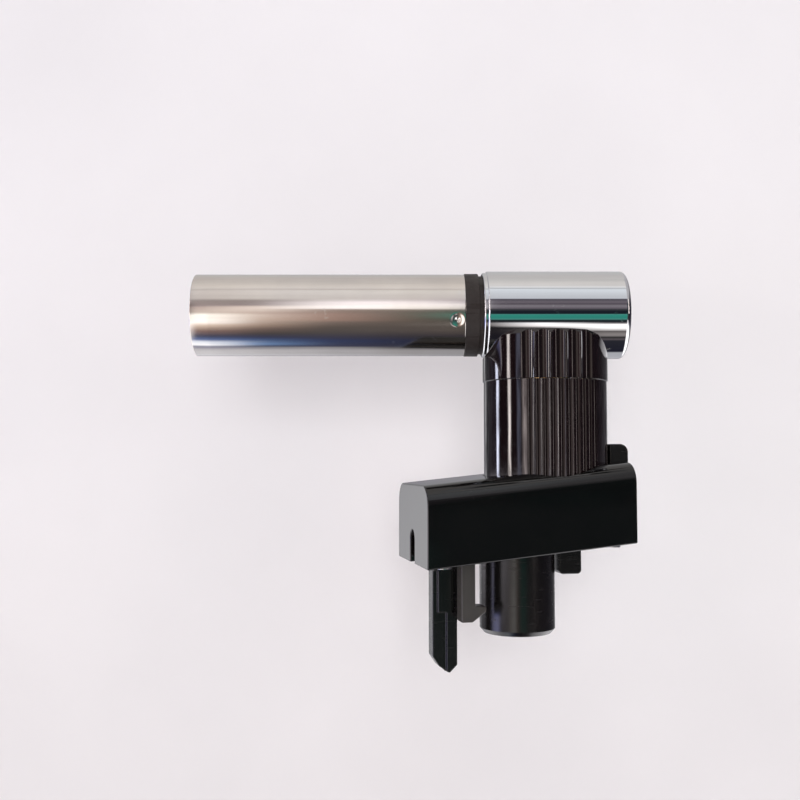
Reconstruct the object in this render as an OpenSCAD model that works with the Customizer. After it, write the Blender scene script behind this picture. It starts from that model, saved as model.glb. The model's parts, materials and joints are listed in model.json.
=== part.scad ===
// Butane torch head: a swivelling burner on a fluted neck, over a slanted base that clips on a fuel tank.
// The origin is the centre of the fuel socket's mouth, +Z runs up the neck and the flame leaves along -X.

/* [Flame tube] */
// Outer diameter of the stainless flame tube
tube_d = 25; // [24:0.5:26]
// Wall thickness of the flame tube
tube_wall = 0.6; // [0.5:0.1:0.8]
// Length of the flame tube in front of the insulating collar
tube_len = 82.2; // [70:0.2:95]
// Gap from the tube's rear edge to its fixing dimples
dimple_inset = 2.6; // [2:0.1:4]

/* [Burner head] */
// Height of the burner axis above the socket mouth
head_z = 96; // [96:0.5:100]
// Outer diameter of the chromed head shell
shell_d = 26.8; // [26.6:0.1:27.2]
// Length of the chromed head shell
shell_len = 43.6; // [42:0.1:46]
// Wall thickness of the head shell
shell_wall = 1; // [0.8:0.1:1.2]
// Radius of the head shell's rounded closed end
shell_round = 1.5; // [1:0.1:4]
// Distance from the neck axis to the front edge of the head shell
shell_front = 19.4; // [19:0.1:20]
// Diameter of the insulating collar
collar_d = 25.4; // [25.1:0.1:26]
// Visible length of the insulating collar
collar_len = 5.4; // [5:0.1:6]

/* [Neck] */
// Diameter of the fluted neck collar that turns with the burner
neck_d = 38; // [37.8:0.1:38.4]
// Height of the parting line between the neck collar and the flame ring
parting_z = 75.4; // [75.2:0.1:75.8]
// Diameter of the fluted flame ring
ring_d = 37.4; // [37:0.1:37.6]
// Number of wide flutes on the neck collar
collar_flutes = 5; // [3:1:6]
// Angle between the neck collar's flutes
collar_flute_pitch = 13.8; // [13:0.1:15]
// Number of fine flutes on the flame ring
ring_flutes = 10; // [6:1:14]
// Angle between the flame ring's flutes
ring_flute_pitch = 6.9; // [6.5:0.1:7.5]

/* [Slanted base] */
// Angle by which the base is turned from the burner at rest
base_turn = 11; // [0:0.5:20]
// Distance from the socket axis to the neck axis
neck_offset = 9.3; // [9.2:0.05:9.4]
// Distance from the socket axis to the base's front end
base_front = 32.3; // [32:0.1:34]
// Distance from the socket axis to the base's rear end
base_rear = 29.8; // [29.7:0.05:30]
// Width of the base
base_w = 42; // [42:0.2:46]
// Height of the base
base_h = 23.2; // [22.8:0.1:23.6]
// Slope of the base's long edges
base_slope = 6; // [5.5:0.1:6.2]
// Height of the base's top where the neck axis meets it
base_top_z = 48.7; // [48.5:0.1:49]
// Radius of the base's two long top edges
base_round = 6; // [4:0.5:7]
// Wall thickness of the base's shroud
base_wall = 1.8; // [1.6:0.1:2]

/* [Fuel socket] */
// Outer diameter of the fuel socket
socket_d = 22.6; // [22:0.1:23]
// Diameter of the socket's bore
socket_bore_d = 18; // [17:0.1:18.5]
// Depth of the socket's bore
socket_depth = 14; // [12:0.5:15]

/* [Motion] */
// Travel of the ignition trigger
trigger_travel = 5; // [4:0.1:5]
// Radial running clearance of the turning and sliding parts
run_gap = 0.05; // [0.03:0.01:0.08]

/* [Hidden] */
$fn = 64;
eps = 0.01;
slip = 0.02;
tube_r = tube_d / 2;
tube_in = tube_r - tube_wall;
shell_r = shell_d / 2;
shell_in = shell_r - shell_wall;
shell_x0 = -shell_front;
shell_x1 = shell_len - shell_front;
bead_w = 1.2;
bead_step = 0.4;
bead_round = 0.45;
collar_x0 = shell_x0 - collar_len;
neck_r = neck_d / 2;
ring_r = ring_d / 2;
ring_in = ring_r - 1.7;
ring_z0 = 46.4;
ring_z1 = parting_z - 0.15;
saddle_r = 19.9;
saddle_rise = 8;
collar_top = 89.9;
collar_flute_r = 2.7;
collar_flute_depth = 1.1;
flute_turn = 4.7;
ring_flute_r = 1.35;
ring_flute_depth = 0.5;
collar_web_z = parting_z + 1.6;
mixer_r = 6.2;
cup_x0 = -51;
cup_x1 = -44;
spark_r = 9.3;
core_r = 5.5;
core_z0 = 37;
core_z1 = 74.4;
spindle_r = 3.45;
clip_z = 64;
lead_r = 14.7;
needle_z = 56.5;
well_r = 20.6;
well_z = 46.2;
well_hole_r = 16.5;
trigger_in = 28.4;
trigger_out = 34.4;
trigger_z0 = 35;
trigger_z1 = 56.4;
piezo_x = 20;
piezo_z0 = 30.4;
spring_x = 20.4;
spring_y = -6.7;
pivot_x = 1.5;
pivot_z = 42.5;
lever_y0 = 7.3;
lever_y1 = 9.3;
stem_x = -3.5;
prong_x0 = -26.75;
prong_x1 = -19.6;
prong_tip = -10.7;
latch_x = -18.05;
latch_y = -9.3;
latch_z = 29.5;
socket_r = socket_d / 2;
bore_r = socket_bore_d / 2;

// Placement helpers
module in_base() rotate([0, 0, base_turn]) children();
module in_neck() in_base() translate([neck_offset, 0, 0]) children();
module in_head() in_neck() rotate([0, 0, -base_turn]) children();
module in_burner() in_head() translate([0, 0, head_z]) children();

// Bar along X from x0 to x1
module bar_x(x0, x1, r) translate([x0, 0, 0]) rotate([0, 90, 0]) cylinder(r = r, h = x1 - x0);
// Bar along Y from y0 to y1
module bar_y(y0, y1, r) translate([0, y1, 0]) rotate([90, 0, 0]) cylinder(r = r, h = y1 - y0);
// Bar along Z from z0 to z1
module bar_z(z0, z1, r) translate([0, 0, z0]) cylinder(r = r, h = z1 - z0);
// Block between two corners
module block(low, high) translate(low) cube(high - low);
// One ring of points round the wire of a coil, at a turn angle and a height
function wire_ring(r, wire, turn, z) =
    [for (i = [0 : 5]) [(r + wire * cos(60 * i)) * cos(turn), (r + wire * cos(60 * i)) * sin(turn),
                        z + wire * sin(60 * i)]];

// Coil spring of six-sided wire, 12 rings to a turn
module coil(z0, z1, r, wire, turns) {
    rings = turns * 12;
    pitch = (z1 - z0 - 2 * wire) / rings;
    points = [for (k = [0 : rings]) each wire_ring(r, wire, 30 * k, z0 + wire + pitch * k)];
    sides = [for (k = [0 : rings - 1], i = [0 : 5])
        [6 * k + i, 6 * k + (i + 1) % 6, 6 * k + 6 + (i + 1) % 6, 6 * k + 6 + i]];
    polyhedron(points, concat([[for (i = [5 : -1 : 0]) i]], sides, [[for (i = [0 : 5]) 6 * rings + i]]));
}

// Height of the base's top surface above a point at x from the socket axis
function base_top(x) = base_top_z + tan(base_slope) * (x - neck_offset);

// Slab between two heights below the base's top, following its slope
module sloped_slab(x0, x1, w, down0, down1)
    translate([0, w / 2, 0])
        rotate([90, 0, 0])
            linear_extrude(w)
                polygon([[x0, base_top(x0) - down1], [x1, base_top(x1) - down1],
                         [x1, base_top(x1) - down0], [x0, base_top(x0) - down0]]);

// Loaf profile: flat sides and bottom, two rounded top edges, its top at height 0
module loaf_profile(w, h, r) {
    translate([-w / 2, -h])
        square([w, h - r]);
    translate([-w / 2 + r, -h])
        square([w - 2 * r, h]);
    for (side = [-1, 1])
        translate([side * (w / 2 - r), -r])
            circle(r = r);
}

// Slanted loaf with upright ends
module loaf(x0, x1, w, h, r, down)
    intersection() {
        translate([neck_offset, 0, base_top_z - down])
            rotate([0, -base_slope, 0])
                translate([-70, 0, 0])
                    rotate([90, 0, 90])
                        linear_extrude(120)
                            loaf_profile(w, h, r);
        block([x0, -w, 0], [x1, w, 90]);
    }

// Row of grooves cut along Z in a round wall, centred on the -Y side
module flutes(count, pitch, wall_r, cut_r, depth, z0, z1)
    for (i = [0 : count - 1])
        rotate([0, 0, (i - (count - 1) / 2) * pitch])
            translate([0, -(wall_r + cut_r - depth), z0])
                cylinder(r = cut_r, h = z1 - z0, $fn = 32);

// Polished stainless tube that carries the flame, held by three punched dimples
module flame_tube() color("silver")
    in_burner()
        difference() {
            bar_x(collar_x0 - tube_len, collar_x0 - slip, tube_r);
            bar_x(collar_x0 - tube_len - 1, collar_x0 + 1, tube_in);
            for (turn = [44, 164, 284])
                rotate([turn, 0, 0])
                    translate([collar_x0 - dimple_inset, 0, -tube_r - 4.2])
                        sphere(r = 4.6);
        }

// Heat-proof ring between the flame tube and the head, with a spigot into each
module insulating_collar() color("#1c1816")
    in_burner()
        difference() {
            union() {
                bar_x(collar_x0, shell_x0 - 1.3, collar_d / 2);
                bar_x(shell_x0 - 1.3, shell_x0 - slip, collar_d / 2 - 0.7);
                bar_x(shell_x0 - slip, shell_x0 + 2.4, shell_in - 0.05);
                bar_x(collar_x0 - 9, collar_x0 + eps, tube_in - 0.05);
            }
            bar_x(collar_x0 - 10, shell_x0 + 3, mixer_r + slip);
            translate([0, 0, spark_r])
                bar_x(collar_x0 - 10, shell_x0 + 3, 1.65);
        }

// Cup behind the flame disc, fed by the mixer tube
module burner_cup() color("darkgoldenrod")
    in_burner()
        difference() {
            bar_x(cup_x0 + 1.2, cup_x1, tube_in - 0.1);
            bar_x(cup_x0, cup_x1 - 1.4, tube_in - 1);
            bar_x(cup_x0, cup_x1 + 1, mixer_r + slip);
            translate([0, 0, spark_r])
                bar_x(cup_x0, cup_x1 + 1, 1.65);
        }

// Drilled disc that holds the flame
module flame_disc() color("goldenrod")
    in_burner()
        difference() {
            bar_x(cup_x0, cup_x0 + 1.2 - slip, tube_in - 0.1);
            bar_x(cup_x0 - 1, cup_x0 + 2, 1.1);
            for (ring = [1, 2, 3])
                for (i = [0 : ring * 6 - 1])
                    rotate([i * 60 / ring, 0, 0])
                        translate([0, 0, ring * 2.75])
                            if (ring < 3 || i != 0)
                                bar_x(cup_x0 - 1, cup_x0 + 2, ring == 3 ? 0.7 : 0.9);
            translate([0, 0, spark_r])
                bar_x(cup_x0 - 1, cup_x0 + 2, 1.65);
        }

// Brass tube where gas draws in air, with four air ports
module mixer_tube() color("goldenrod")
    in_burner()
        difference() {
            bar_x(cup_x1 - 1.2, -9, mixer_r);
            bar_x(cup_x1 - 2, -8, mixer_r - 0.7);
            for (turn = [45 : 90 : 315])
                rotate([turn, 0, 0])
                    translate([-14.5, 0, 0])
                        bar_z(3, mixer_r + 1, 1.4);
        }

// Small brass jet that meters the gas into the mixer
module gas_jet() color("gold")
    in_burner()
        difference() {
            union() {
                bar_x(-8, -1, 2.2);
                bar_x(-9.5, -8, 1.6);
            }
            bar_x(-8.5, 0, 0.8);
            bar_x(-10, -8, 0.25);
        }

// Spark electrode
module electrode() color("silver")
    in_burner()
        translate([0, 0, spark_r]) {
            bar_x(-55, -16.4, 0.6);
            translate([-55, 0, 0])
                rotate([0, -125, 0])
                    cylinder(r = 0.6, h = 2.6);
            translate([-55, 0, 0])
                sphere(r = 0.64);
        }

// Ceramic tube around the electrode
module electrode_insulator() color("white")
    in_burner()
        translate([0, 0, spark_r])
            difference() {
                bar_x(-53, -17.4, 1.6);
                bar_x(-54, -17, 0.62);
            }

// Insulated lead from the spark ring, round the mixer, to the electrode
module electrode_lead() color("firebrick")
    in_burner()
        translate([-15.4, 0, 0]) {
            bar_z(collar_web_z - head_z + slip, -spark_r, 0.8);
            rotate([0, 0, 90])
                rotate([90, 0, 0])
                    rotate([0, 0, -90])
                        rotate_extrude(angle = 180)
                            translate([spark_r, 0])
                                circle(r = 0.8, $fn = 24);
            translate([0, 0, spark_r])
                bar_x(-0.98, 0, 0.8);
            translate([0, 0, spark_r])
                sphere(r = 0.8);
        }

// Chromed shell of the burner head, closed and rounded at its rear end
module head_shell() color("gainsboro")
    in_burner()
        difference() {
            rotate([0, 90, 0])
                rotate_extrude($fn = 96)
                    difference() {
                        union() {
                            translate([0, shell_x0 + bead_w + bead_step])
                                square([shell_r, shell_len - bead_w - bead_step - shell_round]);
                            translate([0, shell_x0 + bead_w])
                                square([shell_r - bead_step, shell_len - bead_w]);
                            translate([shell_r - bead_step, shell_x0 + bead_w + bead_step])
                                circle(r = bead_step, $fn = 32);
                            translate([0, shell_x0 + bead_round])
                                square([shell_r - bead_step, bead_w]);
                            translate([0, shell_x0])
                                square([shell_r - bead_step - bead_round, bead_w]);
                            translate([shell_r - bead_step - bead_round, shell_x0 + bead_round])
                                circle(r = bead_round, $fn = 32);
                            square([shell_r - shell_round, shell_x1]);
                            translate([shell_r - shell_round, shell_x1 - shell_round])
                                circle(r = shell_round, $fn = 48);
                        }
                        translate([shell_r - shell_round, shell_x1 - shell_round])
                            difference() {
                                square(shell_round + 1);
                                circle(r = shell_round, $fn = 48);
                            }
                        translate([-50, -50])
                            square([50, 100]);
                    }
            bar_x(shell_x0 - 1, shell_x1 - 1.6, shell_in);
            bar_z(-20, 0, 9.6);
            translate([-15.4, 0, 0])
                bar_z(-20, 0, 1.2);
        }

// Brass casting inside the head: carries the jet, the mixer tube and the shell, and stands on the neck
module burner_body() color("darkgoldenrod")
    difference() {
        union() {
            in_burner() bar_x(-12, 15, shell_in - 0.05);
            in_head() bar_z(collar_web_z + 2 + slip, head_z - 6, 9.5);
            in_head() bar_z(collar_web_z + 2 + slip, 82.3, 14);
        }
        in_burner() bar_x(-13, -9, mixer_r + slip);
        in_burner() bar_x(-9 - eps, -6, 5.2);
        in_burner() bar_x(-7, -1, 2.2 + slip);
        in_burner() bar_x(-2, 2, 1);
        in_head() bar_z(collar_web_z, 88, spindle_r + slip);
        in_head() bar_z(87, head_z, 1);
        for (turn = [45, 135, 225, 315])
            in_head() rotate([0, 0, turn]) translate([11.5, 0, 0]) bar_z(70, 81.8, 1.5 + slip);
        in_head() translate([-15.4, 0, 0]) bar_z(70, 90, 2.2);
    }

// Fluted collar that turns with the head; its top is a saddle for the head shell
module neck_collar() color("#101012")
    difference() {
        in_head()
            difference() {
                bar_z(parting_z, collar_top, neck_r);
                bar_z(parting_z - 1, collar_web_z, neck_r - 2);
                bar_z(collar_web_z + 2, collar_top + 1, neck_r - 2);
            }
        in_burner() translate([0, 0, saddle_rise]) bar_x(-40, 40, saddle_r);
        in_burner() bar_x(-40, 40, shell_r + slip);
        in_head() bar_z(parting_z - 1, collar_top, 6.5);
        in_head()
            rotate([0, 0, flute_turn])
                flutes(collar_flutes, collar_flute_pitch, neck_r, collar_flute_r, collar_flute_depth,
                       parting_z - 1, collar_top + 1);
        for (turn = [45, 135, 225, 315])
            in_head() rotate([0, 0, turn]) translate([11.5, 0, 0]) bar_z(70, 82, 1.5 + slip);
        in_head() translate([-15.4, 0, 0]) bar_z(collar_web_z - 1, collar_web_z + 4, 0.8 + slip);
        in_head()
            rotate_extrude()
                translate([neck_r, collar_top])
                    rotate([0, 0, 45])
                        square(1.9, center = true);
    }

// Four screws that hold the neck collar to the burner body
module collar_screws() color("silver")
    in_head()
        for (turn = [45, 135, 225, 315])
            rotate([0, 0, turn])
                translate([11.5, 0, 0])
                    difference() {
                        union() {
                            bar_z(collar_web_z - slip, 81.6, 1.5);
                            bar_z(collar_web_z - 1.3, collar_web_z - slip, 1.45);
                            bar_z(collar_web_z - 1.3, collar_web_z - slip, 2);
                        }
                        translate([0, 0, collar_web_z - 1.4])
                            cube([3, 0.6, 1.2], center = true);
                    }

// Brass ring under the neck collar that takes the spark across the swivel
module spark_ring() color("gold")
    in_head()
        difference() {
            bar_z(collar_web_z - 0.8, collar_web_z - slip, 16.6);
            bar_z(collar_web_z - 2, collar_web_z + 1, 13.9);
        }

// Hollow spindle that carries the gas and on which the head swivels
module swivel_spindle() color("goldenrod")
    in_head()
        difference() {
            bar_z(60.6, 87.8, spindle_r);
            bar_z(60, 89, 1);
            for (z = [67.2, 70.8])
                difference() {
                    bar_z(z, z + 1.5, spindle_r + 1);
                    bar_z(z - 1, z + 3, spindle_r - 1.05);
                }
            difference() {
                bar_z(clip_z - 0.1, clip_z + 0.9, spindle_r + 1);
                bar_z(clip_z - 1, clip_z + 2, 2.65);
            }
        }

// Two rubber rings that seal the spindle in the neck core
module spindle_seals() color("#202020")
    in_head()
        for (z = [67.95, 71.55])
            translate([0, 0, z])
                rotate_extrude()
                    translate([2.96, 0])
                        circle(r = 0.52, $fn = 24);

// Fluted ring that is turned to set the flame; its hub lifts the needle
module flame_ring() color("#101012")
    in_neck()
        difference() {
            union() {
                difference() {
                    bar_z(ring_z0, ring_z1, ring_r);
                    bar_z(ring_z0 - 1, ring_z1 + 1, ring_in);
                }
                bar_z(54, 56, ring_in + 0.1);
                bar_z(52, 62, 9.6);
            }
            bar_z(50, 64, core_r + run_gap);
            bar_z(needle_z - 1.3, needle_z + 1.3, 8.5);
            flutes(ring_flutes, ring_flute_pitch, ring_r, ring_flute_r, ring_flute_depth,
                   ring_z0 - 1, ring_z1 + 1);
            translate([0, 0, 53])
                rotate_extrude(angle = 110)
                    translate([12.8, 0])
                        square([ring_in - 13.2, 4]);
            rotate([0, 0, -145])
                translate([0, 0, 53])
                    rotate_extrude(angle = 110)
                        translate([12.8, 0])
                            square([ring_in - 13.2, 4]);
        }

// Needle that meters the flame
module needle() color("silver")
    in_neck()
        difference() {
            union() {
                bar_z(47, needle_z + 2, 2);
                translate([0, 0, 44.6])
                    cylinder(r1 = 0.3, r2 = 1.6, h = 2.4 + eps);
            }
            translate([0, 0, needle_z])
                bar_y(-5, 5, 0.8 + slip);
            for (side = [-1, 1])
                translate([side * 2.1, 0, 0])
                    bar_z(44, 60, 0.7);
        }

// Cross pin that the flame ring's hub moves
module needle_pin() color("silver")
    in_neck()
        translate([0, 0, needle_z])
            bar_y(-8.2, 8.2, 0.8);

// Fixed brass core of the neck, with the needle's seat and the spindle's bore
module neck_core() color("goldenrod")
    in_neck()
        difference() {
            bar_z(core_z0, core_z1, core_r);
            bar_z(36, 45, 0.9);
            bar_z(44.5, 61, 2 + run_gap);
            bar_z(60.2, 80, spindle_r + run_gap);
            block([-0.9, -8, needle_z - 1.3], [0.9, 8, needle_z + 1.3]);
            for (side = [-1, 1])
                translate([0, side * 5.2, 0])
                    block([-8, -2.5, clip_z - 0.05], [8, 2.5, clip_z + 0.85]);
        }

// Clip through the core's slots that keeps the spindle in
module retaining_clip() color("silver")
    in_neck()
        difference() {
            bar_z(clip_z, clip_z + 0.8, 7.2);
            block([-9, -2.75, clip_z - 1], [9 - 3.2, 2.75, clip_z + 2]);
            block([-5.7, -2.75, clip_z - 1], [5.7, 2.75, clip_z + 2]);
        }

// Insulating holder of the spark wiper
module contact_holder() color("#2a2a2c")
    in_neck()
        difference() {
            union() {
                bar_z(69, 72, 8.6);
                block([-3, -16.2, 69], [3, -5, 72]);
            }
            bar_z(68, 73, core_r + slip);
            translate([0, -lead_r, 0])
                bar_z(68, 71, 0.9 + slip);
        }

// Brass leaf that touches the spark ring
module spark_wiper() color("gold")
    in_neck() {
        block([-1.5, -16, 72 + slip], [1.5, -9, 72.5]);
        block([-1.5, -16, 72.3], [1.5, -15.5, collar_web_z - 1.2]);
        block([-1.5, -16, collar_web_z - 1.25], [1.5, -14.2, collar_web_z - 0.85]);
    }

// High-voltage lead from the piezo igniter up to the wiper
module ignition_lead() color("firebrick")
    in_base()
        wire([[17.45, -4.03, 34], [17.45, -8.9, 34], [neck_offset, -lead_r, 38],
              [neck_offset, -lead_r, 70.9]], 0.9);

// Round wire along straight stretches, with round bends
module wire(points, r)
    for (i = [0 : len(points) - 2]) {
        step = points[i + 1] - points[i];
        run = norm(step);
        translate(points[i])
            rotate([0, acos(step[2] / run), atan2(step[1], step[0])]) {
                cylinder(r = r, h = run, $fn = 24);
                if (i > 0)
                    sphere(r = 1.1 * r, $fn = 24);
            }
    }

// Black shroud of the base: a slanted loaf, open below, with a well for the flame ring
module base_shroud() color("#0c0c0e")
    in_base()
        difference() {
            union() {
                difference() {
                    loaf(-base_front, base_rear, base_w, base_h, base_round, 0);
                    loaf(base_wall - base_front, base_rear - base_wall, base_w - 2 * base_wall, base_h + 5,
                         base_round - base_wall, base_wall);
                }
                intersection() {
                    loaf(-base_front, base_rear, base_w, base_h, base_round, 0);
                    translate([neck_offset, 0, 0])
                        bar_z(well_z - 1.6, 60, well_r);
                }
                for (x = [-26.5, 24.2], y = [-15.4, 15.4])
                    intersection() {
                        loaf(-base_front, base_rear, base_w, base_h, base_round, 0);
                        translate([x, y, 0])
                            bar_z(base_top(x) - base_h + 3.3, 60, 3.2);
                    }
            }
            translate([neck_offset, 0, 0])
                bar_z(well_z, 60, ring_r + 0.4);
            translate([neck_offset, 0, 0])
                bar_z(30, 60, well_hole_r);
            block([26.1, -4.8, trigger_z0 - trigger_travel - 0.1], [32, 4.8, 70]);
            block([-base_front - 1, -3.2, 10], [-base_front + 3, 3.2, base_top(-base_front) - base_h + 6.6]);
            translate([-base_front - 1, 0, base_top(-base_front) - base_h + 6.6])
                bar_x(0, 4, 3.2);
            for (x = [-26.5, 24.2], y = [-15.4, 15.4])
                translate([x, y, 0])
                    bar_z(10, base_top(x) - base_h + 13, 1.25 + slip);
        }

// Plate that closes the base from below and carries the fuel socket and the clips
module base_plate() color("#161618")
    in_base()
        difference() {
            union() {
                sloped_slab(0.15 + base_wall - base_front, base_rear - base_wall - 0.15,
                            base_w - 2 * base_wall - 0.3, base_h - 2.9, base_h - 0.9);
                for (y = [latch_y - 5, latch_y + 3.3])
                    intersection() {
                        sloped_slab(latch_x - 3, latch_x + 3, 60, 0, base_h - 2);
                        block([latch_x - 3, y, 20], [latch_x + 3, y + 1.7, latch_z + 2.6]);
                    }
            }
            bar_z(10, 40, socket_r + slip);
            block([prong_x0 - slip, -4 - slip, 10], [prong_x1 + slip, 4 + slip, 40]);
            block([12.1 - slip, -4 - slip, 10], [19.1 + slip, 4 + slip, 40]);
            block([-23.6, latch_y - 3.1, 10], [-14.9, latch_y + 3.1, latch_z - 3.4]);
            translate([latch_x, 0, latch_z])
                bar_y(-30, 0, 1 + slip);
            for (x = [-26.5, 24.2], y = [-15.4, 15.4])
                translate([x, y, 0])
                    bar_z(10, 40, 1.7);
        }

// Four screws from the plate into the shroud's posts
module base_screws() color("silver")
    in_base()
        for (x = [-26.5, 24.2], y = [-15.4, 15.4])
            translate([x, y, base_top(x) - base_h])
                difference() {
                    union() {
                        bar_z(0.55, 10, 1.25);
                        bar_z(-0.9, 0.55, 2.4);
                    }
                    block([-1.7, -0.3, -1], [1.7, 0.3, -0.2]);
                    block([-0.3, -1.7, -1], [0.3, 1.7, -0.2]);
                }

// Socket that fits over the tank's valve collar
module fuel_socket() color("#141416")
    in_base()
        difference() {
            union() {
                translate([0, 0, 1.4])
                    cylinder(r = socket_r, h = 28.6);
                cylinder(r1 = socket_r - 1.2, r2 = socket_r, h = 1.4 + eps);
                intersection() {
                    bar_z(20, 40, 13.4);
                    sloped_slab(-15, 11.9, 40, base_h - 4.4, base_h - 2.9 - slip);
                }
            }
            bar_z(-1, socket_depth, bore_r);
            bar_z(socket_depth - eps, 22, 5.5);
            bar_z(21, 40, 3 + slip);
        }

// Rubber ring that seals the tank's nozzle
module socket_seal() color("#202020")
    in_base()
        translate([0, 0, 20.7])
            rotate_extrude()
                translate([4.2, 0])
                    circle(r = 1.25, $fn = 24);

// Brass probe that opens the tank's valve
module inlet_probe() color("goldenrod")
    in_base()
        difference() {
            union() {
                bar_z(19, 30.9, 2.9);
                bar_z(15, 19 + eps, 1.3);
            }
            bar_z(14, 32, 0.6);
        }

// Brass gas valve in the middle of the base
module valve_body() color("goldenrod")
    in_base()
        difference() {
            union() {
                block([-8, -7, 31], [16, 7, 41.6]);
                block([-1, 5, 41], [4, 7, 44.6]);
            }
            bar_z(30, 32.6, 0.8);
            translate([0, 0, 32.4])
                bar_x(stem_x, 0, 0.6);
            translate([stem_x, 0, 0])
                bar_z(32.4, 34, 0.8);
            translate([stem_x, 0, 0])
                bar_z(33.8, 42, 2.7);
            translate([0, 0, 36.2])
                bar_x(stem_x, neck_offset, 0.6);
            translate([neck_offset, 0, 0])
                bar_z(36.2, core_z0 + eps, 0.8);
            translate([neck_offset, 0, 0])
                bar_z(core_z0, 42, core_r + slip);
            translate([pivot_x, 0, pivot_z])
                bar_y(4, 8, 1 + slip);
        }

// Gland that closes the valve above its spring
module valve_gland() color("gold")
    in_base()
        translate([stem_x, 0, 0])
            difference() {
                union() {
                    bar_z(39.6, 41.6, 2.68);
                    bar_z(41.6, 42, 2.68);
                }
                bar_z(39, 43, 1.25 + run_gap);
            }

// Valve stem with its sealing head below and its cap above
module valve_stem() color("silver")
    in_base()
        translate([stem_x, 0, 0]) {
            bar_z(34.6, 44.6, 1.25);
            bar_z(33.8 + slip, 34.8, 2.62);
            bar_z(44, 45.2, 3);
        }

// Spring that closes the valve
module valve_spring() color("silver")
    in_base()
        translate([stem_x, 0, 0])
            coil(35.2, 39.2, 1.95, 0.35, 4);

// Rocker that opens the valve when the trigger goes down
module valve_lever() color("silver")
    in_base()
        difference() {
            union() {
                block([stem_x - 0.6, lever_y0, pivot_z - 1.2], [19.6, lever_y1, pivot_z + 1.3]);
                block([stem_x - 0.6, 1.7, pivot_z - 0.3], [stem_x + 0.6, lever_y1, pivot_z + 1.3]);
                translate([pivot_x, 0, pivot_z])
                    bar_y(lever_y0, lever_y1, 2.2);
            }
            translate([pivot_x, 0, pivot_z])
                bar_y(lever_y0 - 1, lever_y1 + 1, 1 + run_gap);
        }

// Pin of the rocker, fixed in the valve body
module lever_pin() color("silver")
    in_base()
        translate([pivot_x, 0, pivot_z]) {
            bar_y(5, lever_y1 + 0.3, 1);
            bar_y(lever_y1 + 0.2, lever_y1 + 1, 1.8);
        }

// Piezo igniter
module piezo_body() color("#303034")
    in_base()
        difference() {
            block([16.5, -4, piezo_z0], [23.4, 4, 43]);
            translate([piezo_x, 0, 0])
                bar_z(36, 44, 2.4 + run_gap);
        }

// Plunger of the piezo igniter
module piezo_plunger() color("whitesmoke")
    in_base()
        translate([piezo_x, 0, 0])
            bar_z(42, 48.25, 2.4);

// Thumb trigger at the rear, with the arm that works the igniter and the valve
module trigger() color("#141416")
    in_base()
        union() {
            difference() {
                block([trigger_in, -4.6, trigger_z0], [trigger_out, 4.6, trigger_z1]);
                translate([trigger_out - 2.5, 0, trigger_z1 - 2.5])
                    difference() {
                        block([0, -6, 0], [3, 6, 3]);
                        bar_y(-7, 7, 2.5);
                    }
                translate([trigger_out - 1.5, 0, trigger_z0 + 1.5])
                    difference() {
                        block([0, -6, -2], [2, 6, 0]);
                        bar_y(-7, 7, 1.5);
                    }
            }
            block([26.3, -6.4, 36], [27.7, 6.4, 44.3]);
            block([27, -4.4, 36], [trigger_in + eps, 4.4, 44.3]);
            block([23.8, -3, 41.8], [27, 3, 44.3]);
            block([23.8, -3, 41.8], [25.1, 3, 50.3]);
            block([17, -3, 48.3], [24.5, 3, 50.3]);
            block([17, -8.6, 48.3], [22.3, 3, 50.3]);
            block([17, 2, 48.3], [20, lever_y1 - 0.1, 50.3]);
            block([17.4, lever_y0 + 0.1, pivot_z + 1.5], [19.4, lever_y1 - 0.1, 49]);
        }

// Return spring of the trigger
module trigger_spring() color("silver")
    in_base()
        translate([spring_x, spring_y, 0])
            coil(base_top(spring_x) - base_h + 3.35, 47.9, 1.5, 0.32, 8);

// Long channel-shaped prong that guides the head into the tank's side
module guide_prong() color("#121214")
    in_base()
        difference() {
            union() {
                intersection() {
                    block([prong_x0, -4, 4.8], [prong_x1, 4, 30]);
                    union() {
                        block([prong_x0 + 2, -4, 4.7], [prong_x1 + 1, 4, 31]);
                        block([prong_x0 - 1, -4, 6.8], [prong_x1 + 1, 4, 31]);
                        translate([prong_x0 + 2, 0, 6.8])
                            bar_y(-4, 4, 2);
                    }
                    sloped_slab(-30, -10, 20, base_h - 4.4, 60);
                }
                translate([0, 4, 0])
                    rotate([90, 0, 0])
                        linear_extrude(8)
                            polygon([[prong_x0, 10], [prong_x0, prong_tip + 4.6],
                                     [prong_x0 + 2, prong_tip + 1.7],
                                     [prong_x0 + 3.3, prong_tip + 0.9], [prong_x1 - 3.6, prong_tip + 0.4],
                                     [prong_x1 - 2.2, prong_tip], [prong_x1, prong_tip + 2.2],
                                     [prong_x1, 10]]);
                intersection() {
                    block([prong_x0 - 1.1, -4, 20], [prong_x1 + 1.1, 4, 30]);
                    sloped_slab(-30, -10, 20, base_h - 4.4, base_h - 2.9 - slip);
                }
            }
            for (side = [-1, 1])
                translate([0, side * 4, 0]) {
                    block([prong_x0 - 1, -1.2, -20], [prong_x0 + 4, 1.2, 6.8]);
                    block([prong_x1 - 1.5, -1.6, 6.8], [prong_x1 - 0.7, 1.6, 19]);
                    block([prong_x0 - 1, -1.2, 6.8 - eps], [prong_x0 + 1.4, 1.2, 19]);
                }
        }

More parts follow.
